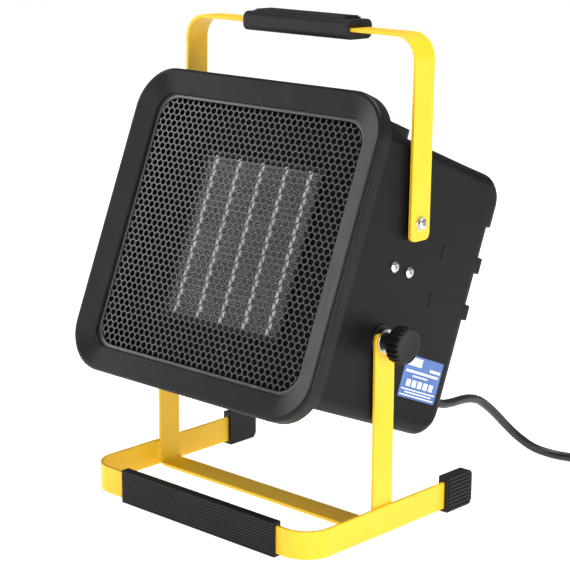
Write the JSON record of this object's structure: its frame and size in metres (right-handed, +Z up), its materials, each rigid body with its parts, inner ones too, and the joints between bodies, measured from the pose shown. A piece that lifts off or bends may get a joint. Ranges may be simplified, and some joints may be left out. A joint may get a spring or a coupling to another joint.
{
  "type": "ceramic space heater",
  "caption": "Square portable heater head with a perforated front, tilting in a flat-strap stand and carried by a swinging bail handle.",
  "frame": {"origin": "centre of the box round the heater without its cord, on the floor it stands on", "axes": "+Z up, the heated air leaves towards -Y and up, +X is the side with the rating label"},
  "size_m": [0.4756, 0.4028, 0.4404],
  "materials": {
    "yellow_steel": "satin powder coat",
    "black_rubber": "matte, ribbed",
    "bezel_paint": "fine-textured satin",
    "grille_steel": "satin grey",
    "shell_plastic": "satin",
    "label_film": "gloss film",
    "zinc_steel": "zinc plated",
    "black_plastic": "matte",
    "core_aluminium": "bright rolled",
    "ptc_ceramic": "matte fired",
    "ivory_plastic": "satin",
    "cord_rubber": "satin",
    "plug_brass": "polished"
  },
  "bodies": {
    "stand": {"base_strap": "yellow_steel", "yoke_strap": "yellow_steel", "weld_beads": "yellow_steel", "front_foot_pad": "black_rubber", "rear_cap_left": "black_rubber", "rear_cap_right": "black_rubber", "power_cord": "cord_rubber", "cord_coil": "cord_rubber", "cord_tie": "black_plastic", "power_plug": "black_plastic", "plug_pins": "plug_brass"},
    "head": {"front_bezel": "bezel_paint", "front_grille": "grille_steel", "front_housing": "shell_plastic", "rear_housing": "shell_plastic", "rating_label": "label_film", "control_panel": "shell_plastic", "side_bracket_left": "zinc_steel", "side_bracket_right": "zinc_steel", "side_screws": "zinc_steel", "handle_bolts": "zinc_steel", "handle_spacers": "black_plastic", "handle_nuts": "zinc_steel", "handle_washers": "zinc_steel", "friction_washers": "black_plastic", "clamp_nuts": "zinc_steel", "air_baffle": "black_plastic", "core_frame": "core_aluminium", "heating_tubes": "core_aluminium", "ceramic_stones": "ptc_ceramic", "heating_fins": "core_aluminium", "power_tabs": "core_aluminium", "thermal_cutout": "zinc_steel", "fan_duct": "black_plastic", "motor_bracket": "zinc_steel", "motor_body": "zinc_steel", "duct_screws": "zinc_steel", "housing_screws": "zinc_steel", "mode_switch": "black_plastic", "thermostat": "black_plastic", "terminal_block": "ivory_plastic", "wiring_loom": "cord_rubber", "cord_gland": "black_plastic", "gland_nut": "black_plastic"},
    "handle": {"handle_strap": "yellow_steel", "handle_grip": "black_rubber", "grip_pad": "black_rubber"},
    "clamp_left": {"clamp_knob_left": "black_plastic", "clamp_stud_left": "zinc_steel", "clamp_washer_left": "zinc_steel"},
    "clamp_right": {"clamp_knob_right": "black_plastic", "clamp_stud_right": "zinc_steel", "clamp_washer_right": "zinc_steel"},
    "fan": {"fan_blade": "black_plastic", "motor_shaft": "zinc_steel"},
    "mode_dial": {"mode_knob": "black_plastic", "mode_shaft": "zinc_steel"},
    "thermostat_dial": {"thermostat_knob": "black_plastic", "thermostat_shaft": "zinc_steel"}
  },
  "joints": [
    {"name": "head_tilt", "type": "hinge", "parent": "stand", "child": "head", "pos_m": [0, -0.02305, 0.1755], "axis": [-1, 0, 0], "range_deg": [-37, 43], "deforming": ["power_cord"]},
    {"name": "handle_swing", "type": "hinge", "parent": "head", "child": "handle", "pos_m": [0, 0.018, 0.27085], "axis": [-1, 0, 0], "range_deg": [-12, 100]},
    {"name": "clamp_left_turn", "type": "hinge", "parent": "head", "child": "clamp_left", "pos_m": [-0.14, -0.02305, 0.1755], "axis": [-1, 0, 0], "range_deg": [0, 360]},
    {"name": "clamp_right_turn", "type": "hinge", "parent": "head", "child": "clamp_right", "pos_m": [0.14, -0.02305, 0.1755], "axis": [1, 0, 0], "range_deg": [0, 360]},
    {"name": "fan_spin", "type": "hinge", "parent": "head", "child": "fan", "pos_m": [0, -0.0037, 0.22269], "axis": [0, 0.9252, -0.3795], "continuous": true},
    {"name": "mode_turn", "type": "hinge", "parent": "head", "child": "mode_dial", "pos_m": [-0.05, 0.01304, 0.35309], "axis": [0, -0.3795, -0.9252], "range_deg": [0, 270]},
    {"name": "thermostat_turn", "type": "hinge", "parent": "head", "child": "thermostat_dial", "pos_m": [0.05, 0.01304, 0.35309], "axis": [0, -0.3795, -0.9252], "range_deg": [0, 270]}
  ]
}
